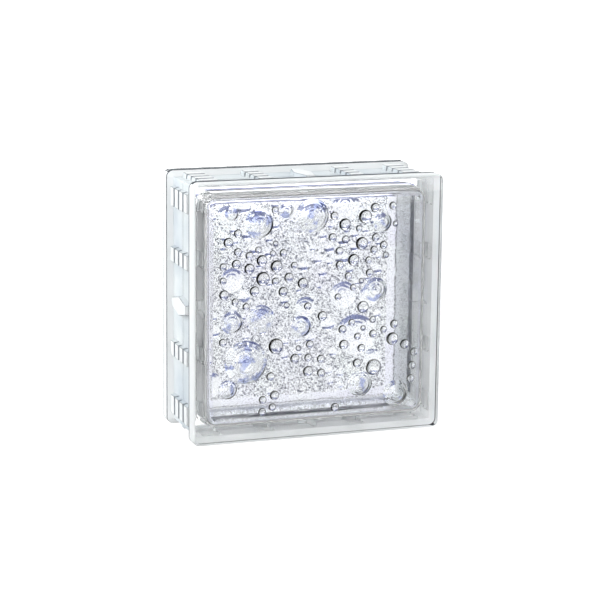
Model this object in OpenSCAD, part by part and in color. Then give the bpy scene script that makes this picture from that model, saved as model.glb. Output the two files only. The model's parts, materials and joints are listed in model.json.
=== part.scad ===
// Hollow glass block with a bubble pattern, standing upright on its lower edge.
// X is the width, Y the depth with the front face at -Y, and Z the height from the floor.

/* [Block] */
// Width of the faces
block_width = 190; // [150:10:240]
// Height of the faces
block_height = 190; // [150:10:240]
// Depth from the front face to the back face
block_depth = 80; // [76:2:100]
// Radius of the four corners of each face
corner_radius = 5; // [5:0.5:7]
// Radius of the rounded edge round each face
edge_radius = 2; // [1:0.5:3]

/* [Mortar channel] */
// Depth of each rim, from its face to the channel
rim_depth = 12; // [10:0.5:13]
// How far the channel's floor lies below the rims
channel_recess = 4.5; // [3.5:0.5:4.5]
// Lean of the channel's side walls across their height
channel_draft = 2; // [1:0.5:3]
// Width of the bead where the two pressed halves are fused
seam_width = 7; // [5:0.5:8]
// Height of that bead above the channel's floor
seam_height = 1; // [0.6:0.2:1.4]

/* [Keys in the channel] */
// Number of bars side by side in a group of keys
key_bars = 4; // [2:1:4]
// Distance from one bar to the next
key_pitch = 11.2; // [10.4:0.2:11.6]
// Gap between two bars at half their height
key_gap = 2.4; // [1.6:0.2:3]
// How far the keys stay below the rims
key_drop = 0.8; // [0.5:0.1:1.5]
// Lean of a bar's side across its height
key_draft = 0.8; // [0.4:0.1:1]
// Distance from the round corner to the first group of keys
corner_key_gap = 5; // [3:0.5:6]
// Length of the bars next to a corner
corner_key_length = 15; // [12:0.5:18]
// Distance from the end of an edge to its second group of keys
inner_key_start = 54; // [48:1:58]
// Length of the bars in the second group
inner_key_length = 12; // [9:0.5:14]
// Size of the six-sided middle pad across the channel
pad_span = 36; // [30:1:40]
// Size of the middle pad along the edge
pad_length = 15; // [12:0.5:16]

/* [Cavity] */
// Thickness of the glass at both faces
face_thickness = 9; // [8:0.5:11]
// Thickness of the glass between the channel and the cavity, at the seam
wall_thickness = 5; // [4:0.5:6]
// How far each wall leans in from the seam to the face
wall_draft = 1.5; // [1:0.5:2]
// Radius of the cavity's four corners
cavity_radius = 9; // [8.5:0.5:11]
// Radius of the fillet between the walls and the faces
cavity_fillet = 5.5; // [4:0.5:6]
// Height of the fused bead inside the cavity
seam_inside = 1.2; // [0.8:0.2:1.6]

/* [Bubbles] */
// Rise of a clear bubble as a share of its radius
bubble_rise = 0.38; // [0.3:0.02:0.44]
// Rise of a faint bubble as a share of its radius
faint_rise = 0.3; // [0.2:0.02:0.36]
// Depth of the dents compared with their listed depth
dent_scale = 1; // [0.7:0.05:1.2]

/* [Hidden] */
$fn = 64;
overlap = 1;
glass_tint = [0.82, 0.9, 0.92, 0.45];

cavity_width = block_width - 2 * (channel_recess + wall_thickness);
cavity_height = block_height - 2 * (channel_recess + wall_thickness);
cavity_depth = block_depth - 2 * face_thickness;
panel_x = cavity_width / 2 - wall_draft - cavity_fillet;
panel_y = cavity_height / 2 - wall_draft - cavity_fillet;
key_height = channel_recess - key_drop;

// Clear bubbles: percent of the panel's half width across, percent of its half height up, and
// radius in millimetres.
clear_bubbles = [
    [-77, 73, 3.0], [-86, 65, 3.6], [-77, 56, 2.9], [-66, 52, 2.9], [-54, 47, 4.0],
    [-66, 40, 3.8], [-78.5, 45, 3.3], [-91, 43, 2.6], [-33.5, 53, 2.8], [-40, 41, 4.4],
    [-23, 41, 2.5], [-53, 30, 5.1], [-41, 27, 2.8], [-28, 30, 3.5], [-14.5, 24, 3.9],
    [-61, 19, 3.6], [-33.5, 17, 3.5], [-90, 17, 3.6], [-91, 30, 2.6], [-79.5, 10, 2.6],
    [-69, 5, 2.6], [-9.5, 2, 2.8], [-42, 93, 2.4],
    [15.5, 85, 3.0], [26, 76.5, 4.4], [46, 83, 5.0], [40, 72, 2.4], [14, 65, 3.1],
    [43, 58, 4.7], [56.5, 63, 3.0], [64.5, 55.5, 3.0], [55, 51.5, 2.9], [21, 52, 3.0],
    [35, 43, 4.3], [50, 42, 2.7], [21.5, 39, 3.1], [30, 28, 2.8], [51, 30, 3.0],
    [35, 17, 2.4], [20, 9, 2.5], [55.5, 91, 3.3], [73, 92, 2.8],
    [-40, -33.5, 5.6], [-91, -27, 2.9], [-45, -62, 3.2], [-41, -80, 3.5], [-52.5, -83.5, 2.9],
    [-43, -91, 2.8], [-53, -95, 2.9], [-21.5, -46.5, 3.5], [-7, -34, 2.9], [-8.5, -46.5, 2.9],
    [-8.5, -59.5, 3.8], [5, -8, 3.6], [4, -48.5, 3.0], [4.5, -62, 3.1],
    [34, -16, 2.5], [25, -22, 3.1], [55.5, -28, 3.0], [40, -29.5, 2.6], [26.5, -36.5, 3.6],
    [44, -41, 3.0], [40, -55, 3.3], [66, -24.5, 2.6], [76.5, -20, 3.1], [75, -34, 4.7],
    [87.5, -40, 3.6], [97, -48, 3.1], [95, -61, 3.1], [94, -73.5, 3.0], [18.5, -96, 3.2]
];
// Fainter bubbles, given in the same way.
faint_bubbles = [
    [-43.5, 53, 2.3], [-41, 62, 2.2], [-57.5, 57, 2.5], [-30, 4, 2.3], [27, 62.5, 3.0],
    [67, 46, 2.4], [43, 23, 2.1], [76, 75, 2.2], [-18, -37, 2.2], [45.5, -22, 2.1],
    [55, -14.5, 2.5], [56.5, -60, 6.0], [45, -2, 4.5]
];
// Broad shallow dents: percent across, percent up, radius, and depth as a share of the radius.
dents = [
    [-57, 81, 10.7, 0.27], [-6, 86, 12.5, 0.25], [-82.5, -9, 8.3, 0.27], [-55, -7, 10.5, 0.2],
    [-69, -47, 16, 0.24], [-86.5, -71.5, 7, 0.28], [-16.5, -17, 8.2, 0.26],
    [79, -86.5, 9.7, 0.32], [43, -75, 9.5, 0.24], [57, 14, 9, 0.22], [-31, 92, 5.5, 0.26],
    [63, 77, 7, 0.26], [-83, 91, 5, 0.28]
];

// Carries a section round a rectangle with round corners. The section's x runs outwards from
// the centre of a corner, and its y along the depth.
module round_frame(width, height, radius) {
    side_x = width / 2 - radius;
    side_y = height / 2 - radius;
    for (turn = [0, 180]) rotate(turn) {
        translate([side_x, side_y, 0]) rotate([90, 0, 0]) linear_extrude(2 * side_y) children();
        translate([-side_x, side_y, 0]) rotate([90, 0, 90]) linear_extrude(2 * side_x) children();
        translate([side_x, side_y, 0]) rotate_extrude(angle = 90) children();
        translate([-side_x, side_y, 0]) rotate(90) rotate_extrude(angle = 90) children();
    }
}

// Outer section: two rims with rounded edges, and the mortar channel with its fused seam.
module outer_section() {
    half = block_depth / 2;
    floor_x = corner_radius - channel_recess;
    wall_y = half - rim_depth;
    difference() {
        union() {
            translate([0, edge_radius - half]) square([corner_radius, block_depth - 2 * edge_radius]);
            translate([0, -half]) square([corner_radius - edge_radius, block_depth]);
            for (side = [-1, 1])
                translate([corner_radius - edge_radius, side * (half - edge_radius)]) circle(edge_radius);
        }
        polygon([
            [corner_radius + overlap, wall_y], [corner_radius, wall_y],
            [floor_x, wall_y - channel_draft], [floor_x, channel_draft - wall_y],
            [corner_radius, -wall_y], [corner_radius + overlap, -wall_y]
        ]);
    }
    translate([floor_x, 0]) polygon([
        [-floor_x, -seam_width / 2], [0, -seam_width / 2], [seam_height, -seam_width / 4],
        [seam_height, seam_width / 4], [0, seam_width / 2], [-floor_x, seam_width / 2]
    ]);
}

// Section of one group of keys: bars with leaning sides on a common foot in the wall.
module key_section() {
    bar = key_pitch - key_gap;
    translate([-overlap, -key_pitch * key_bars / 2]) square([overlap, key_pitch * key_bars]);
    for (place = [0 : key_bars - 1])
        translate([0, (place - (key_bars - 1) / 2) * key_pitch])
            polygon([
                [-overlap / 2, -(bar + key_draft) / 2], [key_height, -(bar - key_draft) / 2],
                [key_height, (bar - key_draft) / 2], [-overlap / 2, (bar + key_draft) / 2]
            ]);
}

// The pad in the middle of an edge, a long hexagon that lies across the channel.
module middle_pad() {
    translate([-overlap, 0, 0]) rotate([0, 90, 0]) linear_extrude(key_height + overlap)
        polygon([
            [-pad_span / 2, -pad_length / 4], [0, -pad_length / 2], [pad_span / 2, -pad_length / 4],
            [pad_span / 2, pad_length / 4], [0, pad_length / 2], [-pad_span / 2, pad_length / 4]
        ]);
}

// Keys along one edge of the block: the pad, and two groups of bars towards each corner.
module edge_keys(edge_length) {
    groups = [
        [corner_radius + corner_key_gap, corner_key_length],
        [inner_key_start, inner_key_length]
    ];
    middle_pad();
    for (way = [0, 1], group = groups) mirror([0, way, 0])
        translate([0, edge_length / 2 - group[0], 0]) rotate([90, 0, 0])
            linear_extrude(group[1]) key_section();
}

module keys() {
    for (turn = [0, 180]) rotate(turn) {
        translate([block_width / 2 - channel_recess, 0, 0]) edge_keys(block_height);
        rotate(90) translate([block_height / 2 - channel_recess, 0, 0]) edge_keys(block_width);
    }
}

// Section of the hollow: walls that lean in towards the faces, a fillet round each face and
// the bead of the fused seam.
module cavity_section() {
    half = cavity_depth / 2;
    straight = half - cavity_fillet;
    face_x = cavity_radius - wall_draft;
    difference() {
        union() {
            polygon([
                [0, -straight], [face_x, -straight], [cavity_radius, -seam_width / 2],
                [cavity_radius - seam_inside, 0], [cavity_radius, seam_width / 2],
                [face_x, straight], [0, straight]
            ]);
            translate([0, -half]) square([face_x - cavity_fillet, cavity_depth]);
            for (side = [-1, 1])
                translate([face_x - cavity_fillet, side * straight]) circle(cavity_fillet);
        }
        translate([-cavity_radius, -cavity_depth]) square([cavity_radius, 2 * cavity_depth]);
    }
}

// A round bubble that stands on an inner face, given by its radius on the face and its rise.
module bubble(radius, rise) {
    ball = (radius * radius + rise * rise) / (2 * rise);
    translate([0, 0, ball - rise]) sphere(ball);
}

// A round dent in an inner face, given by its radius on the face and its depth in the glass.
module dent(radius, depth) {
    ball = (radius * radius + depth * depth) / (2 * depth);
    intersection() {
        translate([0, 0, depth - ball]) sphere(ball);
        translate([0, 0, -overlap]) cylinder(h = depth + 2 * overlap, r = radius + 3 * overlap);
    }
}

// Sets something at a listed place on the panel.
module on_panel(place) {
    translate([place[0] * panel_x / 100, place[1] * panel_y / 100, 0]) children();
}

module bubbles() {
    for (place = clear_bubbles) on_panel(place) bubble(place[2], place[2] * bubble_rise);
    for (place = faint_bubbles) on_panel(place) bubble(place[2], place[2] * faint_rise);
}

module all_dents() {
    for (place = dents) on_panel(place) dent(place[2], place[2] * place[3] * dent_scale);
}

// Puts the pattern of one inner face on both faces.
module both_faces() {
    for (turn = [0, 180]) rotate([0, turn, 0]) translate([0, 0, cavity_depth / 2]) children();
}

// The hollow with dents pressed out of its two faces, less the bubbles that stand on them.
module cavity() {
    core = [cavity_width - 2 * cavity_radius, cavity_height - 2 * cavity_radius, cavity_depth];
    difference() {
        union() {
            cube(core, center = true);
            round_frame(cavity_width, cavity_height, cavity_radius) cavity_section();
            both_faces() all_dents();
        }
        both_faces() bubbles();
    }
}

// The block as if it were solid.
module body() {
    core = [block_width - 2 * corner_radius, block_height - 2 * corner_radius, block_depth];
    cube(core, center = true);
    round_frame(block_width, block_height, corner_radius) outer_section();
    keys();
}

module glass_block() {
    color(glass_tint) translate([0, 0, block_height / 2]) rotate([90, 0, 0]) difference() {
        body();
        cavity();
    }
}

glass_block();
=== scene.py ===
import json
from math import asin, cos, pi, radians, sin

import bmesh
import bpy
from mathutils import Matrix, Vector

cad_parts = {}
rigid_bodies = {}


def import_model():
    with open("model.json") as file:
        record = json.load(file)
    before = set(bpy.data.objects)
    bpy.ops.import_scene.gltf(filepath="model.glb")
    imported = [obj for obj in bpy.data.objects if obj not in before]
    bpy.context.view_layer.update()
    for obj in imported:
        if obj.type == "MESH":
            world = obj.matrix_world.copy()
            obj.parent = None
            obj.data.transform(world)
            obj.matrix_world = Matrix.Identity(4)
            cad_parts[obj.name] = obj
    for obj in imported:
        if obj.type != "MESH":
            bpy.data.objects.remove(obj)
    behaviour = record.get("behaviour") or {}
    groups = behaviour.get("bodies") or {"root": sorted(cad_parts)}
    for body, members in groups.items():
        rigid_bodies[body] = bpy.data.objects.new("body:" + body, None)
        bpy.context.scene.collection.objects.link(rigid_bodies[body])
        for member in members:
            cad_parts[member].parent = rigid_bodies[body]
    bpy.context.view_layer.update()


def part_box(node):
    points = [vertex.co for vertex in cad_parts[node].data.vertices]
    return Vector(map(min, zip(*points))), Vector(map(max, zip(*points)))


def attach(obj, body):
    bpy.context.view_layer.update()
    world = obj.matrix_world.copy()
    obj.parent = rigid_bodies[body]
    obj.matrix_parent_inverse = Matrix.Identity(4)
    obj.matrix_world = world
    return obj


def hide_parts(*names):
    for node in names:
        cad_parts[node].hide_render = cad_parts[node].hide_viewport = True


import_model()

mm = 0.001
lowCorner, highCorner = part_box("glass_block")
blockSize = highCorner - lowCorner
blockCentre = (lowCorner + highCorner) / 2
faceY = blockSize.y / 2
print("frame loaded, block", [round(length / mm, 1) for length in blockSize], "mm")

# limits that tell faces and edges apart
alongDepth = 0.99  # share of a direction that lies along the depth
facingOut = 0.7  # share of a normal that points out of a side
facingSide = 0.05  # largest share along the depth in the normal of a side
slack = 0.1 * mm
cutDistance = 1e-7
mergeDistance = 1e-6


def scaledBox(width, depth, height):
    bm = bmesh.new()
    bmesh.ops.create_cube(bm, size=1.0)
    bmesh.ops.scale(bm, vec=(width, depth, height), verts=bm.verts)
    return bm


def roundEdges(bm, edges, radius, segments):
    bmesh.ops.bevel(bm, geom=edges, offset=radius, offset_type="OFFSET", affect="EDGES",
                    segments=segments, profile=0.5, material=-1, clamp_overlap=True)


def depthEdges(bm):
    return [edge for edge in bm.edges
            if abs((edge.verts[1].co - edge.verts[0].co).normalized().y) > alongDepth]


def faceOutline(bm):
    # edges between a flat front or back face and the sides
    found = []
    for edge in bm.edges:
        flat = [abs(face.normal.y) > alongDepth for face in edge.link_faces]
        if len(flat) == 2 and flat[0] != flat[1]:
            found.append(edge)
    return found


def cutFaces(bm, faces, point, normal):
    edges = {edge for face in faces for edge in face.edges}
    verts = {vert for face in faces for vert in face.verts}
    bmesh.ops.bisect_plane(bm, geom=list(faces) + list(edges) + list(verts), dist=cutDistance,
                           plane_co=point, plane_no=normal)


def cutAcrossDepth(bm, faces, place):
    cutFaces(bm, faces, (0, place, 0), (0, 1, 0))


def axisVector(axis):
    direction = Vector((0, 0, 0))
    direction[axis] = 1.0
    return direction


def sideFaces(bm, reach):
    bm.normal_update()
    return [face for face in bm.faces
            if abs(face.calc_center_median().y) < reach and abs(face.normal.y) < facingSide]


def facesBetween(faces, axis, low, high):
    return [face for face in faces if low < face.calc_center_median()[axis] < high]


def meshFromBmesh(bm, name):
    mesh = bpy.data.meshes.new(name)
    bm.to_mesh(mesh)
    bm.free()
    return mesh


def sceneObject(mesh, name):
    piece = bpy.data.objects.new(name, mesh)
    bpy.context.scene.collection.objects.link(piece)
    return piece


def finishedMesh(piece, name):
    # the mesh with its modifiers applied
    bpy.context.view_layer.update()
    depsgraph = bpy.context.evaluated_depsgraph_get()
    mesh = bpy.data.meshes.new_from_object(piece.evaluated_get(depsgraph))
    mesh.name = name
    return mesh


def removePiece(piece):
    mesh = piece.data
    bpy.data.objects.remove(piece)
    bpy.data.meshes.remove(mesh)


# finishes of the block, in the order of its material slots
# tint and otherTint lie in slow patches; the speck tint is painted shade, dark specks in the grain, and
# the inner tint painted light, where the milky skin is seen through the glass the speck range is the
# range that the grain is spread to: the lower it starts, the more painted specks
# heights are in millimetres, scales per metre
finishLooks = {
    "clear_glass_pressed": {
        "tint": (0.97, 0.985, 0.985), "otherTint": (0.965, 0.965, 0.985),
        "transmission": 1.0, "roughness": (0.0, 0.015),
        "waveScale": 45.0, "waveHeight": 0.03, "grainScale": 400.0, "grainHeight": 0.001,
    },
    # painted shade: the recessed channel floor is tinted darker and bluer than the rim
    "milky_channel_painted_shade": {
        "tint": (0.42, 0.452, 0.458), "otherTint": (0.3, 0.34, 0.375),
        "paintedInnerLight": (0.97, 0.985, 0.985),
        "transmission": 0.27, "roughness": (0.7, 0.95),
        "waveScale": 60.0, "waveHeight": 0.2, "grainScale": 500.0, "grainHeight": 0.1,
    },
    "pebbled_glass": {
        "tint": (0.95, 0.985, 0.975), "otherTint": (0.955, 0.95, 0.985),
        "paintedSpeckShade": (0.03, 0.033, 0.05), "paintedSpecks": (-2.05, 4.0),
        "transmission": 1.0, "roughness": (0.0, 0.03),
        "waveScale": 110.0, "waveHeight": 0.8, "grainScale": 1180.0, "grainHeight": 0.2,
    },
    # painted shade: near-black, for the strips along the rims and the soft roundings of all sharp edges
    "channel_edge_painted_shade": {
        "tint": (0.037, 0.041, 0.047), "otherTint": (0.062, 0.066, 0.073),
        "specular": 0.0, "transmission": 0.0, "roughness": (0.7, 0.9),
        "waveScale": 60.0, "waveHeight": 0.1, "grainScale": 500.0, "grainHeight": 0.05,
    },
    # painted shade: a dark ring round the foot of each front bubble; the seam line on the inner walls
    # takes the same dark tint
    "painted_bubble_shade_and_seam": {
        "tint": (0.08, 0.084, 0.105), "otherTint": (0.13, 0.132, 0.16),
        "transmission": 1.0, "roughness": (0.0, 0.05),
        "waveScale": 60.0, "waveHeight": 0.03, "grainScale": 400.0, "grainHeight": 0.01,
    },
    "bubble_glass": {
        "tint": (0.95, 0.985, 0.975), "otherTint": (0.955, 0.95, 0.985),
        "paintedSpeckShade": (0.3, 0.31, 0.36), "paintedSpecks": (-0.6, 4.2),
        "transmission": 1.0, "roughness": (0.0, 0.02),
        "waveScale": 110.0, "waveHeight": 0.05, "grainScale": 1200.0, "grainHeight": 0.02,
    },
    "milky_rim": {
        "tint": (0.46, 0.475, 0.48), "otherTint": (0.44, 0.462, 0.468),
        "paintedInnerLight": (0.96, 0.985, 0.985),
        "transmission": 0.27, "roughness": (0.7, 0.9),
        "waveScale": 60.0, "waveHeight": 0.1, "grainScale": 500.0, "grainHeight": 0.05,
    },
    # painted shade: darker tint on the sides of the keys and in the gaps between the bars
    "key_gap": {
        "tint": (0.2, 0.22, 0.24), "otherTint": (0.17, 0.19, 0.21),
        "paintedInnerLight": (0.97, 0.975, 0.97),
        "transmission": 0.27, "roughness": (0.6, 0.9),
        "waveScale": 60.0, "waveHeight": 0.1, "grainScale": 500.0, "grainHeight": 0.05,
    },
    "smooth_border": {
        "tint": (0.81, 0.835, 0.835), "otherTint": (0.79, 0.8, 0.84),
        "transmission": 1.0, "roughness": (0.02, 0.1),
        "waveScale": 60.0, "waveHeight": 0.1, "grainScale": 400.0, "grainHeight": 0.005,
    },
    "inner_fillet": {
        "tint": (0.7, 0.7, 0.79), "otherTint": (0.76, 0.77, 0.82),
        "transmission": 1.0, "roughness": (0.02, 0.1),
        "waveScale": 60.0, "waveHeight": 0.1, "grainScale": 400.0, "grainHeight": 0.005,
    },
    "front_pebbled_glass": {
        "tint": (0.95, 0.985, 0.975), "otherTint": (0.87, 0.88, 0.985),
        "paintedSpeckShade": (0.5, 0.51, 0.58), "paintedSpecks": (-1.0, 4.0),
        "transmission": 1.0, "roughness": (0.0, 0.02),
        "waveScale": 110.0, "waveHeight": 0.15, "grainScale": 1150.0, "grainHeight": 0.02,
    },
    # painted reflection: blue patches and blue specks in the dents stand in for the lavender
    # surroundings seen through them
    "dent_glass_painted_reflection": {
        "tint": (0.95, 0.985, 0.985), "otherTint": (0.9, 0.93, 0.985),
        "paintedSpeckShade": (0.28, 0.34, 0.68), "paintedSpecks": (-1.0, 3.2),
        "transmission": 1.0, "roughness": (0.0, 0.02),
        "waveScale": 110.0, "waveHeight": 0.1, "grainScale": 120.0, "grainHeight": 0.05,
    },
}
finishSlot = {name: place for place, name in enumerate(finishLooks)}

# the skin that all finishes share, and the values between which its noise mostly lies
skinSizes = {
    "waveScale": 40.0, "waveDetail": 1.0, "grainScale": 600.0, "grainDetail": 2.0,
    "patchScale": 30.0, "patchDetail": 3.0, "usual": (0.3, 0.7),
    "ior": 1.5, "specular": 0.5,
}


def feed(links, socket, value):
    # a socket takes a link, a colour or a number
    if isinstance(value, bpy.types.NodeSocket):
        links.new(value, socket)
    elif isinstance(value, tuple):
        socket.default_value = (*value, 1.0)
    else:
        socket.default_value = value


def nodeGroup(name, inputs, outputs):
    group = bpy.data.node_groups.new(name, "ShaderNodeTree")
    for socketName, kind, value in inputs:
        socket = group.interface.new_socket(socketName, in_out="INPUT", socket_type=kind)
        socket.default_value = value
    for socketName, kind in outputs:
        group.interface.new_socket(socketName, in_out="OUTPUT", socket_type=kind)
    return group, group.nodes.new("NodeGroupInput"), group.nodes.new("NodeGroupOutput")


def makeMouldedSurface():
    # uneven skin of pressed glass: slow waves, fine grain and a patchy tone
    group, given, result = nodeGroup(
        "mouldedSurface",
        [("Wave Scale", "NodeSocketFloat", skinSizes["waveScale"]),
         ("Grain Scale", "NodeSocketFloat", skinSizes["grainScale"])],
        [("Waves", "NodeSocketFloat"), ("Grain", "NodeSocketFloat"), ("Patches", "NodeSocketFloat")])
    place = group.nodes.new("ShaderNodeTexCoord")
    for output, scale, detail in (("Waves", given.outputs["Wave Scale"], skinSizes["waveDetail"]),
                                  ("Grain", given.outputs["Grain Scale"], skinSizes["grainDetail"]),
                                  ("Patches", skinSizes["patchScale"], skinSizes["patchDetail"])):
        noise = group.nodes.new("ShaderNodeTexNoise")
        noise.inputs["Detail"].default_value = detail
        feed(group.links, noise.inputs["Scale"], scale)
        group.links.new(place.outputs["Object"], noise.inputs["Vector"])
        group.links.new(noise.outputs["Fac"], result.inputs[output])
    return group


def spread(nodes, links, source, low, high, edge, kind="LINEAR"):
    # brings a value that lies between two edges to the range that a socket needs
    scale = nodes.new("ShaderNodeMapRange")
    scale.interpolation_type = kind
    for name, value in (("Value", source), ("From Min", edge[0]), ("From Max", edge[1]),
                        ("To Min", low), ("To Max", high)):
        feed(links, scale.inputs[name], value)
    return scale.outputs["Result"]


def blendColours(nodes, links, source, first, second):
    mix = nodes.new("ShaderNodeMix")
    mix.data_type = "RGBA"
    for name, value in (("Factor", source), ("A", first), ("B", second)):
        feed(links, mix.inputs[name], value)
    return mix.outputs["Result"]


def makeFinish(name, look, surface):
    material = bpy.data.materials.new(name)
    material.use_nodes = True
    nodes = material.node_tree.nodes
    links = material.node_tree.links
    shader = nodes["Principled BSDF"]
    skin = nodes.new("ShaderNodeGroup")
    skin.node_tree = surface
    skin.inputs["Wave Scale"].default_value = look["waveScale"]
    skin.inputs["Grain Scale"].default_value = look["grainScale"]
    usual = skinSizes["usual"]
    patches = spread(nodes, links, skin.outputs["Patches"], 0.0, 1.0, usual)
    tint = blendColours(nodes, links, patches, look["tint"], look["otherTint"])
    # painted shade: dark specks in the grain of the pebbled and bubbled glass, blue ones in the dents
    if "paintedSpeckShade" in look:
        paintedSpecks = spread(nodes, links, skin.outputs["Grain"], *look["paintedSpecks"], usual)
        tint = blendColours(nodes, links, paintedSpecks, look["paintedSpeckShade"], tint)
    if "paintedInnerLight" in look:
        # painted light: the milky skin is paler where it is seen through the glass than from outside
        side = nodes.new("ShaderNodeNewGeometry")
        tint = blendColours(nodes, links, side.outputs["Backfacing"], tint, look["paintedInnerLight"])
    links.new(tint, shader.inputs["Base Color"])
    roughness = spread(nodes, links, skin.outputs["Waves"], *look["roughness"], usual)
    links.new(roughness, shader.inputs["Roughness"])
    shader.inputs["Metallic"].default_value = 0.0
    shader.inputs["IOR"].default_value = skinSizes["ior"]
    shader.inputs["Transmission Weight"].default_value = look["transmission"]
    shader.inputs["Specular IOR Level"].default_value = look.get("specular", skinSizes["specular"])
    waveBump = nodes.new("ShaderNodeBump")
    waveBump.inputs["Distance"].default_value = look["waveHeight"] * mm
    links.new(skin.outputs["Waves"], waveBump.inputs["Height"])
    grainBump = nodes.new("ShaderNodeBump")
    grainBump.inputs["Distance"].default_value = look["grainHeight"] * mm
    links.new(skin.outputs["Grain"], grainBump.inputs["Height"])
    links.new(waveBump.outputs["Normal"], grainBump.inputs["Normal"])
    links.new(grainBump.outputs["Normal"], shader.inputs["Normal"])
    return material


# keys in the mortar channel, in millimetres: groups are (start from the end of the side, length)
keySizes = {
    "bars": 4, "pitch": 11.2, "footWidth": 9.4, "lean": 0.7, "drop": 0.8,
    "groups": [(10.0, 15.0), (54.0, 12.0)],
    "padSpan": 36.0, "padLength": 15.0,
    # below the rims: key tops lie higher than the first depth, the channel's floor lower than the second
    "topDepth": 1.5, "floorDepth": 2.0,
    # the gaps between the bars lie within this many pitches of the middle
    "gapReach": 1.4,
}


def floorFaces(bm, axis, way, reach):
    # faces of the channel's floor and bead on one side of the block
    along = 2 - axis
    rimLevel = blockSize[axis] / 2
    straight = blockSize[along] / 2 - bodySizes["cornerRadius"] * mm
    bm.normal_update()
    found = []
    for face in bm.faces:
        middle = face.calc_center_median()
        inside = abs(middle.y) < reach and abs(middle[along]) < straight
        low = way * middle[axis] < rimLevel - keySizes["floorDepth"] * mm
        if inside and low and way * face.normal[axis] > facingOut:
            found.append(face)
    return found


def raiseKey(bm, faces, axis, level, lean):
    # leaning sides from an inset, then a flat top
    bmesh.ops.inset_region(bm, faces=faces, thickness=lean, depth=0.0, use_boundary=True,
                           use_even_offset=True)
    for vert in {vert for face in faces for vert in face.verts}:
        vert.co[axis] = level
    if len(faces) > 1:
        bmesh.ops.dissolve_faces(bm, faces=faces, use_verts=True)


def addKeys(bm, axis, way, reach):
    along = 2 - axis
    alongAxis = axisVector(along)
    half = blockSize[along] / 2
    level = way * (blockSize[axis] / 2 - keySizes["drop"] * mm)
    lean = keySizes["lean"] * mm
    spans = []
    for start, length in keySizes["groups"]:
        near = half - start * mm
        far = near - length * mm
        spans += [(far, near), (-near, -far)]
    padHalf = keySizes["padLength"] * mm / 2
    for low, high in spans + [(-padHalf, padHalf)]:
        for place in (low, high):
            cutFaces(bm, floorFaces(bm, axis, way, reach), alongAxis * place, alongAxis)
    barMiddles = [(step - (keySizes["bars"] - 1) / 2) * keySizes["pitch"] * mm
                  for step in range(keySizes["bars"])]
    barHalf = keySizes["footWidth"] * mm / 2
    for low, high in spans:
        for middle in barMiddles:
            for place in (middle - barHalf, middle + barHalf):
                zone = facesBetween(floorFaces(bm, axis, way, reach), along, low, high)
                cutAcrossDepth(bm, zone, place)
        for middle in barMiddles:
            zone = facesBetween(floorFaces(bm, axis, way, reach), along, low, high)
            raiseKey(bm, facesBetween(zone, 1, middle - barHalf, middle + barHalf), axis, level, lean)
    addPad(bm, axis, way, reach, padHalf, level, lean)


def addPad(bm, axis, way, reach, padHalf, level, lean):
    # a long hexagon across the channel, cut out of the floor by six planes
    along = 2 - axis
    spanHalf = keySizes["padSpan"] * mm / 2

    def padStrip():
        return facesBetween(floorFaces(bm, axis, way, reach), along, -padHalf, padHalf)

    def padZone():
        return facesBetween(padStrip(), 1, -spanHalf, spanHalf)

    for place in (-spanHalf, spanHalf):
        cutAcrossDepth(bm, padStrip(), place)
    cuts = []
    for acrossWay in (-1, 1):
        for alongWay in (-1, 1):
            normal = Vector((0, acrossWay * padHalf / 2, 0))
            normal[along] = alongWay * spanHalf
            point = axisVector(along) * alongWay * padHalf
            cuts.append((point, normal))
            cutFaces(bm, padZone(), point, normal)
    kept = []
    for face in padZone():
        flatMiddle = face.calc_center_median()
        flatMiddle[axis] = 0.0
        if all((flatMiddle - point).dot(normal) < 0 for point, normal in cuts):
            kept.append(face)
    raiseKey(bm, kept, axis, level, lean)


# outer form, in millimetres and degrees
bodySizes = {
    "cornerRadius": 5.0, "cornerSegments": 8,
    "edgeRadius": 2.0, "edgeSegments": 6,
    "rimDepth": 12.0,
    "channelRecess": 4.5, "channelDraft": 2.0,
    "seamWidth": 7.0, "seamSlope": 1.75, "seamHeight": 1.0,
    # edges longer and sharper than this get a soft rounding
    "softEdge": 0.55, "softSegments": 3, "softAngle": 20.0, "softLength": 0.7,
    "sharpAngle": 32.0,
    # how far the milky rim goes round the edge of a face: left and top, right and bottom; painted light:
    # it reaches further round the edges that face left and up, where the light falls, so they show white
    "paintedLightReach": (0.99, 0.6), "rimTurn": 0.05,  # the turn is the least lean that counts as left or up
    # painted shade, near-black strips on the upright sides and on top and bottom: beside the channel,
    # beside the back face
    "stripInner": (1.6, 5.0), "stripOuter": (2.2, 5.8), "stripEnd": 0.4,
}


def rimFinish(face, middle, wallY):
    level = 1 if abs(face.normal.z) > abs(face.normal.x) else 0
    innerEnd = wallY + bodySizes["stripInner"][level] * mm
    outerStart = faceY - bodySizes["stripOuter"][level] * mm
    outerEnd = faceY - bodySizes["stripEnd"] * mm
    # painted shade: near-black strips beside the channel and beside the back face
    if abs(middle.y) < innerEnd or outerStart < middle.y < outerEnd:
        return "channel_edge_painted_shade"
    # painted light: the milky finish reaches further round the edges that face left and up than round
    # those facing right and down
    paintedLitSide = face.normal.z - face.normal.x > bodySizes["rimTurn"]
    reach = bodySizes["paintedLightReach"][0 if paintedLitSide else 1]
    return "milky_rim" if abs(face.normal.y) < reach else "clear_glass_pressed"


def bodyFinish(face, wallY):
    middle = face.calc_center_median()
    if abs(middle.y) > wallY - slack:
        return rimFinish(face, middle, wallY)
    if max(abs(face.normal.x), abs(face.normal.z)) < facingOut:
        # painted shade: the sides of the keys among the bars are tinted darker
        amongBars = abs(middle.y) < keySizes["pitch"] * keySizes["gapReach"] * mm
        return "key_gap" if amongBars else "milky_rim"
    below = min(blockSize.x / 2 - abs(middle.x), blockSize.z / 2 - abs(middle.z))
    # painted shade: the channel floor, deeper than the key tops, is tinted darker than the rim
    return "milky_rim" if below < keySizes["topDepth"] * mm else "milky_channel_painted_shade"


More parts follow.
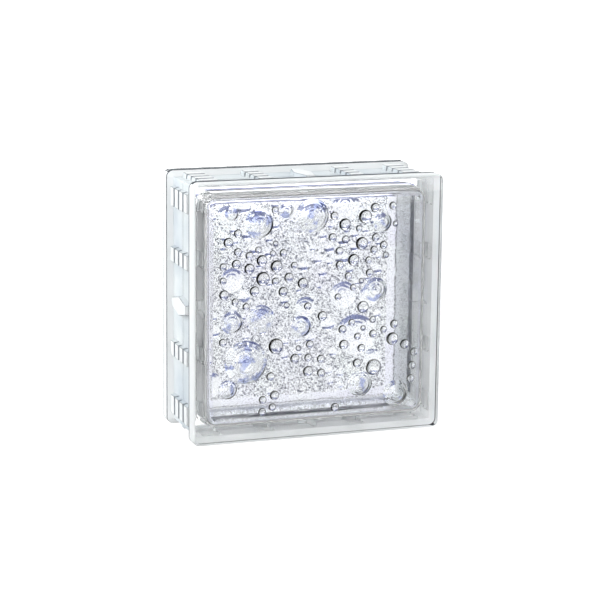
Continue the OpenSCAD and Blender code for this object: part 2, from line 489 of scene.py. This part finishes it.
def makeBody():
    bm = scaledBox(*blockSize)
    bm.normal_update()
    roundEdges(bm, depthEdges(bm), bodySizes["cornerRadius"] * mm, bodySizes["cornerSegments"])
    bm.normal_update()
    roundEdges(bm, faceOutline(bm), bodySizes["edgeRadius"] * mm, bodySizes["edgeSegments"])
    wallY = faceY - bodySizes["rimDepth"] * mm
    # rims, and the strips on them
    cuts = [faceY - width * mm for width in bodySizes["stripOuter"]]
    for inner in (0.0,) + bodySizes["stripInner"]:
        cuts += [wallY + inner * mm, -wallY - inner * mm]
    for place in cuts:
        cutAcrossDepth(bm, bm.faces[:], place)
    # channel, and the bead of the seam along its middle
    draft = bodySizes["channelDraft"] * mm
    bmesh.ops.inset_region(bm, faces=sideFaces(bm, wallY), thickness=draft,
                           depth=-bodySizes["channelRecess"] * mm,
                           use_boundary=True, use_even_offset=True)
    reach = wallY - draft
    seamHalf = bodySizes["seamWidth"] * mm / 2
    for place in (-seamHalf, seamHalf):
        cutAcrossDepth(bm, sideFaces(bm, reach), place)
    bmesh.ops.inset_region(bm, faces=sideFaces(bm, seamHalf), thickness=bodySizes["seamSlope"] * mm,
                           depth=bodySizes["seamHeight"] * mm, use_boundary=True, use_even_offset=True)
    for axis in (0, 2):
        for way in (-1, 1):
            addKeys(bm, axis, way, reach)
    bmesh.ops.recalc_face_normals(bm, faces=bm.faces)
    for face in bm.faces:
        face.material_index = finishSlot[bodyFinish(face, wallY)]
    mesh = softenedMesh(bm)
    print("body:", len(mesh.polygons), "faces")
    return mesh


def softenedMesh(bm):
    # outer edges with a soft rounding, in the near-black finish of the painted shade strips
    weight = bm.edges.layers.float.new("bevel_weight_edge")
    for edge in bm.edges:
        sharp = edge.calc_face_angle_signed(0.0) > radians(bodySizes["softAngle"])
        if sharp and edge.calc_length() > bodySizes["softLength"] * mm:
            edge[weight] = 1.0
    body = sceneObject(meshFromBmesh(bm, "bodyDraft"), "bodyDraft")
    for slot in finishSlot:  # empty slots, so that the rounding can name its finish
        body.data.materials.append(None)
    soft = body.modifiers.new("softEdges", "BEVEL")
    soft.width = bodySizes["softEdge"] * mm
    soft.segments = bodySizes["softSegments"]
    soft.limit_method = "WEIGHT"
    soft.material = finishSlot["channel_edge_painted_shade"]
    mesh = finishedMesh(body, "bodyMesh")
    removePiece(body)
    return mesh


# the hollow, in millimetres
cavitySizes = {
    "faceThickness": 9.0, "wallThickness": 5.0, "wallDraft": 1.5,
    "cornerRadius": 9.0, "cornerSegments": 12,
    "fillet": 5.5, "filletSegments": 8,
    "seamInside": 1.2, "seamLine": 1.0, "seamCuts": 23, "seamLongEdge": 40.0,
    # waves of the inner line: (share of the height, turn per metre, start), along x and a share of z
    "seamWave": 1.2, "seamLean": 1.3, "seamTurns": [(1.0, 130.0, 0.0), (0.6, 310.0, 1.0)],
}


def nearSeam(verts, lineHalf):
    return [vert for vert in verts if abs(vert.co.y) < lineHalf + slack]


def waveSeam(bm, lineHalf):
    # the two halves met in a line that isn't quite straight
    longEdges = [edge for edge in bm.edges if edge.calc_length() > cavitySizes["seamLongEdge"] * mm
                 and len(nearSeam(edge.verts, lineHalf)) == 2]
    bmesh.ops.subdivide_edges(bm, edges=longEdges, cuts=cavitySizes["seamCuts"])
    for vert in nearSeam(bm.verts, lineHalf):
        along = vert.co.x + cavitySizes["seamLean"] * vert.co.z
        wave = sum(share * sin(along * turn + start) for share, turn, start in cavitySizes["seamTurns"])
        vert.co.y += cavitySizes["seamWave"] * mm * wave


def makeCavity():
    inset = (bodySizes["channelRecess"] + cavitySizes["wallThickness"]) * mm
    halfDepth = faceY - cavitySizes["faceThickness"] * mm
    width = blockSize.x - 2 * inset
    height = blockSize.z - 2 * inset
    bm = scaledBox(width, 2 * halfDepth, height)
    bm.normal_update()
    roundEdges(bm, depthEdges(bm), cavitySizes["cornerRadius"] * mm, cavitySizes["cornerSegments"])
    seamHalf = bodySizes["seamWidth"] * mm / 2
    lineHalf = cavitySizes["seamLine"] * mm / 2
    for place in (-seamHalf, -lineHalf, lineHalf, seamHalf):
        cutAcrossDepth(bm, bm.faces[:], place)
    faceScale = 1 - 2 * cavitySizes["wallDraft"] * mm / width
    seamScale = 1 - 2 * cavitySizes["seamInside"] * mm / width
    ends = [vert for vert in bm.verts if abs(vert.co.y) > halfDepth - slack]
    middle = nearSeam(bm.verts, lineHalf)
    bmesh.ops.scale(bm, vec=(faceScale, 1, faceScale), verts=ends)
    bmesh.ops.scale(bm, vec=(seamScale, 1, seamScale), verts=middle)
    bm.normal_update()
    roundEdges(bm, faceOutline(bm), cavitySizes["fillet"] * mm, cavitySizes["filletSegments"])
    # the smooth border of each face
    panelEdge = cavitySizes["wallDraft"] + cavitySizes["fillet"]
    for axis, length, plain in ((0, width, patternSizes["smoothBorder"][0]),
                                (2, height, patternSizes["smoothBorder"][1])):
        normal = axisVector(axis)
        for way in (-1, 1):
            bm.normal_update()
            flat = [face for face in bm.faces if abs(face.normal.y) > alongDepth]
            cutFaces(bm, flat, normal * way * (length / 2 - (panelEdge + plain) * mm), normal)
    waveSeam(bm, lineHalf)
    bmesh.ops.recalc_face_normals(bm, faces=bm.faces)
    print("cavity:", len(bm.faces), "faces")
    return sceneObject(meshFromBmesh(bm, "cavityDraft"), "cavityDraft"), width, height, halfDepth


# relief of the inner faces, in millimetres and degrees
patternSizes = {
    # height as a share of the radius
    "boldRise": 0.45, "faintRise": 0.34,
    "segments": 28, "rings": 7,
    "footRadius": 0.5, "footAngle": 9.0, "footRings": 3, "sink": 0.04, "skirt": 0.9,
    "dentSegments": 48, "dentRings": 24, "ripple": 0.11, "ripplePitch": 2.8,
    # limits of the finishes: the painted shade at the foot of a bubble, the smooth border across and up,
    # what counts as flat, and how far the relief reaches into the glass and into the hollow
    "paintedShadeRise": 0.5, "smoothBorder": (5.5, 5.5), "flatSlack": 0.03, "reliefReach": (-5.0, 3.0),
    # percent across, percent up, radius
    "bold": [
        (-77, 73, 3.0), (-86, 65, 3.6), (-77, 56, 2.9), (-66, 52, 2.9), (-54, 47, 4.0),
        (-66, 40, 3.8), (-78.5, 45, 3.3), (-91, 43, 2.6), (-33.5, 53, 2.8), (-40, 41, 4.4),
        (-23, 41, 2.5), (-53, 30, 5.1), (-41, 27, 2.8), (-28, 30, 3.5), (-14.5, 24, 3.9),
        (-61, 19, 3.6), (-33.5, 17, 3.5), (-90, 17, 3.6), (-91, 30, 2.6), (-79.5, 10, 2.6),
        (-69, 5, 2.6), (-9.5, 2, 2.8), (-42, 93, 2.4),
        (15.5, 85, 3.0), (26, 76.5, 4.4), (46, 83, 5.0), (40, 72, 2.4), (14, 65, 3.1),
        (43, 58, 4.7), (56.5, 63, 3.0), (64.5, 55.5, 3.0), (55, 51.5, 2.9), (21, 52, 3.0),
        (35, 43, 4.3), (50, 42, 2.7), (21.5, 39, 3.1), (30, 28, 2.8), (51, 30, 3.0),
        (35, 17, 2.4), (20, 9, 2.5), (55.5, 91, 3.3), (73, 92, 2.8),
        (-40, -33.5, 5.6), (-91, -27, 2.9), (-45, -62, 3.2), (-41, -80, 3.5), (-52.5, -83.5, 2.9),
        (-43, -91, 2.8), (-53, -95, 2.9), (-21.5, -46.5, 3.5), (-7, -34, 2.9), (-8.5, -46.5, 2.9),
        (-8.5, -59.5, 3.8), (5, -8, 3.6), (4, -48.5, 3.0), (4.5, -62, 3.1),
        (34, -16, 2.5), (25, -22, 3.1), (55.5, -28, 3.0), (40, -29.5, 2.6), (26.5, -36.5, 3.6),
        (44, -41, 3.0), (40, -55, 3.3), (66, -24.5, 2.6), (76.5, -20, 3.1), (75, -34, 4.7),
        (87.5, -40, 3.6), (97, -48, 3.1), (95, -61, 3.1), (94, -73.5, 3.0), (18.5, -96, 3.2),
    ],
    "faint": [
        (-43.5, 53, 2.3), (-41, 62, 2.2), (-57.5, 57, 2.5), (-30, 4, 2.3), (27, 62.5, 3.0),
        (67, 46, 2.4), (43, 23, 2.1), (76, 75, 2.2), (-18, -37, 2.2), (45.5, -22, 2.1),
        (55, -14.5, 2.5), (56.5, -60, 6.0), (45, -2, 4.5),
    ],
    # the last number is the depth as a share of the radius
    "dents": [
        (-57, 81, 10.7, 0.27), (-6, 86, 12.5, 0.25), (-82.5, -9, 8.3, 0.27), (-55, -7, 10.5, 0.2),
        (-69, -47, 16.0, 0.24), (-86.5, -71.5, 7.0, 0.28), (-16.5, -17, 8.2, 0.26),
        (79, -86.5, 9.7, 0.32), (43, -75, 9.5, 0.24), (57, 14, 9.0, 0.22), (-31, 92, 5.5, 0.26),
        (63, 77, 7.0, 0.26), (-83, 91, 5.0, 0.28),
    ],
}


def spinVert(bm, vert, centre, angle, steps):
    # the last vertex of an arc in the xz plane
    arc = bmesh.ops.spin(bm, geom=[vert], cent=centre, axis=(0, 1, 0), angle=angle, steps=steps)
    return [item for item in arc["geom_last"] if isinstance(item, bmesh.types.BMVert)][0]


def swellingMesh(radius, rise, segments, rings, ripple):
    # half a section from the top to the foot, turned once round
    ball = (radius * radius + rise * rise) / (2 * rise)
    slope = asin(radius / ball)
    footRadius = patternSizes["footRadius"] * mm
    footTurn = slope - radians(patternSizes["footAngle"])
    bm = bmesh.new()
    top = bm.verts.new((0, 0, rise))
    edgeVert = spinVert(bm, top, (0, 0, rise - ball), slope, rings)
    footCentre = edgeVert.co + Vector((sin(slope), 0, cos(slope))) * footRadius
    lowVert = spinVert(bm, edgeVert, footCentre, -footTurn, patternSizes["footRings"])
    drop = -lowVert.co.z - patternSizes["sink"] * mm
    bmesh.ops.translate(bm, vec=(0, 0, drop), verts=bm.verts)
    skirt = bmesh.ops.extrude_vert_indiv(bm, verts=[lowVert])
    bmesh.ops.translate(bm, vec=(0, 0, -patternSizes["skirt"] * mm), verts=skirt["verts"])
    bmesh.ops.spin(bm, geom=bm.verts[:] + bm.edges[:], cent=(0, 0, 0), axis=(0, 0, 1),
                   angle=2 * pi, steps=segments, use_merge=True)
    bmesh.ops.remove_doubles(bm, verts=bm.verts, dist=mergeDistance)
    for vert in bm.verts:
        # faint rings, strongest half way out
        reach = vert.co.xy.length
        if reach < radius and vert.co.z > 0:
            turns = reach / (patternSizes["ripplePitch"] * mm)
            vert.co.z += ripple * sin(2 * pi * turns) * sin(pi * reach / radius)
    rim = [edge for edge in bm.edges if edge.is_boundary]
    bmesh.ops.contextual_create(bm, geom=rim)
    bmesh.ops.recalc_face_normals(bm, faces=bm.faces)
    return meshFromBmesh(bm, "swelling")


def makeRelief(name, rows, aim, segments, rings, ripple, panel):
    # the same rows on both inner faces, aim 1 into the hollow and -1 into the glass
    panelX, panelZ, halfDepth = panel
    bm = bmesh.new()
    standing = Matrix.Rotation(radians(-90 * aim), 4, "X")
    for across, up, radius, share in rows:
        shape = swellingMesh(radius * mm, radius * mm * share, segments, rings, ripple)
        place = Vector((across * panelX / 100, -halfDepth, up * panelZ / 100))
        for turn in (0, pi):
            before = len(bm.verts)
            bm.from_mesh(shape)
            bm.verts.ensure_lookup_table()
            matrix = Matrix.Rotation(turn, 4, "Z") @ Matrix.Translation(place) @ standing
            bmesh.ops.transform(bm, matrix=matrix, verts=bm.verts[before:])
        bpy.data.meshes.remove(shape)
    print(name + ":", len(bm.faces), "faces")
    return sceneObject(meshFromBmesh(bm, name), name)


def panelFinish(middle, rise, panel):
    # finish of the flat inner faces and of the relief on them
    back = middle.y > 0
    lowest, highest = [limit * mm for limit in patternSizes["reliefReach"]]
    plainX, plainZ = [reach - plain * mm for reach, plain in zip(panel, patternSizes["smoothBorder"])]
    if abs(rise) < patternSizes["flatSlack"] * mm:
        if back:
            return "pebbled_glass"
        inBorder = abs(middle.x) > plainX or abs(middle.z) > plainZ
        return "smooth_border" if inBorder else "front_pebbled_glass"
    onPanel = abs(middle.x) < panel[0] and abs(middle.z) < panel[1]
    if not onPanel or not lowest < rise < highest:
        return None
    if back:
        return "bubble_glass"
    # painted reflection: the dents take the blue-speckled finish
    if rise < 0:
        return "dent_glass_painted_reflection"
    # painted shade: the low foot of a front bubble is tinted dark
    return "painted_bubble_shade_and_seam" if rise < patternSizes["paintedShadeRise"] * mm else "bubble_glass"


def wallFinish(middle, rise, panel):
    # finish of the walls round the inner faces
    onPanel = abs(middle.x) < panel[0] and abs(middle.z) < panel[1]
    if not onPanel and 0 < rise < cavitySizes["fillet"] * mm:
        return "inner_fillet"
    # the seam line on the inner walls takes the same dark tint
    if abs(middle.y) < cavitySizes["seamLine"] * mm:
        return "painted_bubble_shade_and_seam"
    return "smooth_border" if middle.y > 0 else "clear_glass_pressed"


def makeHollow():
    # the cavity with dents pressed into its faces, less the bubbles that stand on them
    cavity, width, height, halfDepth = makeCavity()
    border = (cavitySizes["wallDraft"] + cavitySizes["fillet"]) * mm
    panel = (width / 2 - border, height / 2 - border, halfDepth)
    bubbleRows = [row + (patternSizes["boldRise"],) for row in patternSizes["bold"]]
    bubbleRows += [row + (patternSizes["faintRise"],) for row in patternSizes["faint"]]
    dents = makeRelief("dents", patternSizes["dents"], -1, patternSizes["dentSegments"],
                       patternSizes["dentRings"], patternSizes["ripple"] * mm, panel)
    bubbles = makeRelief("bubbles", bubbleRows, 1, patternSizes["segments"], patternSizes["rings"],
                         0.0, panel)
    for operation, operand in (("UNION", dents), ("DIFFERENCE", bubbles)):
        cut = cavity.modifiers.new(operand.name, "BOOLEAN")
        cut.operation = operation
        cut.solver = "MANIFOLD"
        cut.object = operand
    mesh = finishedMesh(cavity, "hollowMesh")
    for piece in (cavity, dents, bubbles):
        removePiece(piece)
    for face in mesh.polygons:
        rise = halfDepth - abs(face.center.y)
        name = panelFinish(face.center, rise, panel) or wallFinish(face.center, rise, panel)
        face.material_index = finishSlot[name]
    print("hollow:", len(mesh.polygons), "faces")
    return mesh


def makeBlock():
    body = makeBody()
    hollow = makeHollow()
    bm = bmesh.new()
    bm.from_mesh(hollow)
    bmesh.ops.reverse_faces(bm, faces=bm.faces)
    bm.from_mesh(body)
    bmesh.ops.translate(bm, vec=blockCentre, verts=bm.verts)
    for face in bm.faces:
        face.smooth = True
    bpy.data.meshes.remove(body)
    bpy.data.meshes.remove(hollow)
    mesh = meshFromBmesh(bm, "clear_block")
    mesh.set_sharp_from_angle(angle=radians(bodySizes["sharpAngle"]))
    block = sceneObject(mesh, "clear_block")
    weighted = block.modifiers.new("weightedNormals", "WEIGHTED_NORMAL")
    weighted.keep_sharp = True
    weighted.mode = "FACE_AREA"
    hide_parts("glass_block")
    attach(block, "root")
    print("clear block:", len(mesh.polygons), "faces")
    surface = makeMouldedSurface()
    for name, look in finishLooks.items():
        mesh.materials.append(makeFinish(name, look, surface))
    print("finishes made:", len(mesh.materials))


# the floor, in metres: size is half its width, and behind the shine's edge it gives light
floorLook = {
    "size": 1.1,
    "tone": 0.08, "otherTone": 0.075, "patchScale": 4.0, "roughness": 0.9,
    "glow": 1.0, "shineEdge": (-0.08, 0.02), "shine": 1.1,
}


def makeFloor():
    bm = bmesh.new()
    bmesh.ops.create_grid(bm, x_segments=2, y_segments=2, size=floorLook["size"])
    floor = sceneObject(meshFromBmesh(bm, "floor"), "floor")
    material = bpy.data.materials.new("pale_floor")
    material.use_nodes = True
    nodes = material.node_tree.nodes
    links = material.node_tree.links
    shader = nodes["Principled BSDF"]
    place = nodes.new("ShaderNodeTexCoord")
    noise = nodes.new("ShaderNodeTexNoise")
    noise.inputs["Scale"].default_value = floorLook["patchScale"]
    links.new(place.outputs["Object"], noise.inputs["Vector"])
    tones = [(floorLook[tone],) * 3 for tone in ("tone", "otherTone")]
    links.new(blendColours(nodes, links, noise.outputs["Fac"], *tones), shader.inputs["Base Color"])
    shader.inputs["Roughness"].default_value = floorLook["roughness"]
    shader.inputs["Specular IOR Level"].default_value = 0.0
    shader.inputs["Emission Color"].default_value = (1.0, 1.0, 1.0, 1.0)
    # white where the camera looks at it directly, so that it meets the white surroundings
    path = nodes.new("ShaderNodeLightPath")
    apart = nodes.new("ShaderNodeSeparateXYZ")
    links.new(place.outputs["Object"], apart.inputs["Vector"])
    shine = spread(nodes, links, apart.outputs["Y"], 0.0, floorLook["shine"], floorLook["shineEdge"])
    glow = spread(nodes, links, path.outputs["Is Camera Ray"], shine, floorLook["glow"], (0.0, 1.0))
    links.new(glow, shader.inputs["Emission Strength"])
    floor.data.materials.append(material)
    print("floor made")


# the eye stands to the left of the front face and above it: degrees, metres, pixels and millimetres
cameraPlace = {
    "azimuth": -19.6, "elevation": 11.75, "roll": 0.6, "distance": 1.562,
    "focalPixels": 2118.0, "picture": 600.0, "centrePixel": (301.5, 298.5),
    "sensor": 36.0, "clip": (0.01, 100.0),
}


def makeCamera():
    azimuth = radians(cameraPlace["azimuth"])
    elevation = radians(cameraPlace["elevation"])
    forward = Vector((-sin(azimuth) * cos(elevation), cos(azimuth) * cos(elevation), -sin(elevation)))
    right = forward.cross(Vector((0, 0, 1))).normalized()
    up = right.cross(forward)
    roll = Matrix.Rotation(-radians(cameraPlace["roll"]), 3, forward)
    right = roll @ right
    up = roll @ up
    pixel = cameraPlace["distance"] / cameraPlace["focalPixels"]
    middle = cameraPlace["picture"] / 2
    across = (middle - cameraPlace["centrePixel"][0]) * pixel
    rise = (cameraPlace["centrePixel"][1] - middle) * pixel
    eye = blockCentre - forward * cameraPlace["distance"] + right * across + up * rise
    data = bpy.data.cameras.new("camera")
    data.sensor_width = cameraPlace["sensor"]
    data.lens = cameraPlace["sensor"] * cameraPlace["focalPixels"] / cameraPlace["picture"]
    data.clip_start, data.clip_end = cameraPlace["clip"]
    camera = bpy.data.objects.new("camera", data)
    bpy.context.scene.collection.objects.link(camera)
    axes = Matrix((right, up, -forward)).transposed()
    camera.matrix_world = Matrix.Translation(eye) @ axes.to_4x4()
    bpy.context.scene.camera = camera
    print("camera at", [round(place, 3) for place in eye])


# soft white light all round, stronger from the left, weaker from straight above and from the right,
# with a dim lavender space behind the block, along the horizon
# an edge is where a change begins and ends, as the cosine of the angle to an aim
studioLook = {
    "level": 3.7,
    "darkAim": (1.0, -0.1, 0.1), "darkEdge": (0.2, 0.75), "darkLevel": 0.3,
    "leftAim": (-0.95, -0.1, 0.3), "leftEdge": (0.3, 0.9), "leftBoost": 0.8,
    "topAim": (0.0, 0.0, 1.0), "topEdge": (0.5, 0.95), "topBoost": -2.2,
    "backAim": (0.3, 0.95, 0.1), "backEdge": (0.7, 0.9),
    "backTop": (0.12, 0.3), "backFoot": (-0.14, -0.08),
    "white": (1.0, 1.0, 1.0), "lavender": (0.075, 0.084, 0.145),
}


def makeWorld():
    world = bpy.data.worlds.new("studio")
    bpy.context.scene.world = world
    world.use_nodes = True
    nodes = world.node_tree.nodes
    links = world.node_tree.links
    background = nodes["Background"]
    place = nodes.new("ShaderNodeTexCoord")

    def zone(aim, edge, low, high):
        toward = nodes.new("ShaderNodeVectorMath")
        toward.operation = "DOT_PRODUCT"
        toward.inputs[1].default_value = Vector(studioLook[aim]).normalized()
        links.new(place.outputs["Generated"], toward.inputs[0])
        return spread(nodes, links, toward.outputs["Value"], low, high, studioLook[edge], "SMOOTHSTEP")

    def calculate(operation, first, second):
        mathNode = nodes.new("ShaderNodeMath")
        mathNode.operation = operation
        feed(links, mathNode.inputs[0], first)
        feed(links, mathNode.inputs[1], second)
        return mathNode.outputs["Value"]

    left = zone("leftAim", "leftEdge", 0.0, studioLook["leftBoost"])
    top = zone("topAim", "topEdge", 0.0, studioLook["topBoost"])
    dark = zone("darkAim", "darkEdge", 1.0, studioLook["darkLevel"])
    light = calculate("ADD", calculate("ADD", left, top), studioLook["level"])
    light = calculate("MULTIPLY", light, dark)
    # white where the camera looks at it directly
    seen = nodes.new("ShaderNodeLightPath").outputs["Is Camera Ray"]
    links.new(calculate("MAXIMUM", light, seen), background.inputs["Strength"])
    behind = zone("backAim", "backEdge", 0.0, 1.0)
    behind = calculate("MULTIPLY", behind, zone("topAim", "backTop", 1.0, 0.0))
    behind = calculate("MULTIPLY", behind, zone("topAim", "backFoot", 0.0, 1.0))
    behind = calculate("MULTIPLY", behind, calculate("SUBTRACT", 1.0, seen))
    tint = blendColours(nodes, links, behind, studioLook["white"], studioLook["lavender"])
    links.new(tint, background.inputs["Color"])
    print("studio light made")


scene = bpy.context.scene
scene.view_settings.view_transform = "Standard"
# light goes through many walls, but a single reflection keeps the bubbles' edges dark
scene.cycles.max_bounces = 32
scene.cycles.transmission_bounces = 32
scene.cycles.glossy_bounces = 1
scene.cycles.diffuse_bounces = 8

makeBlock()
makeFloor()
makeCamera()
makeWorld()
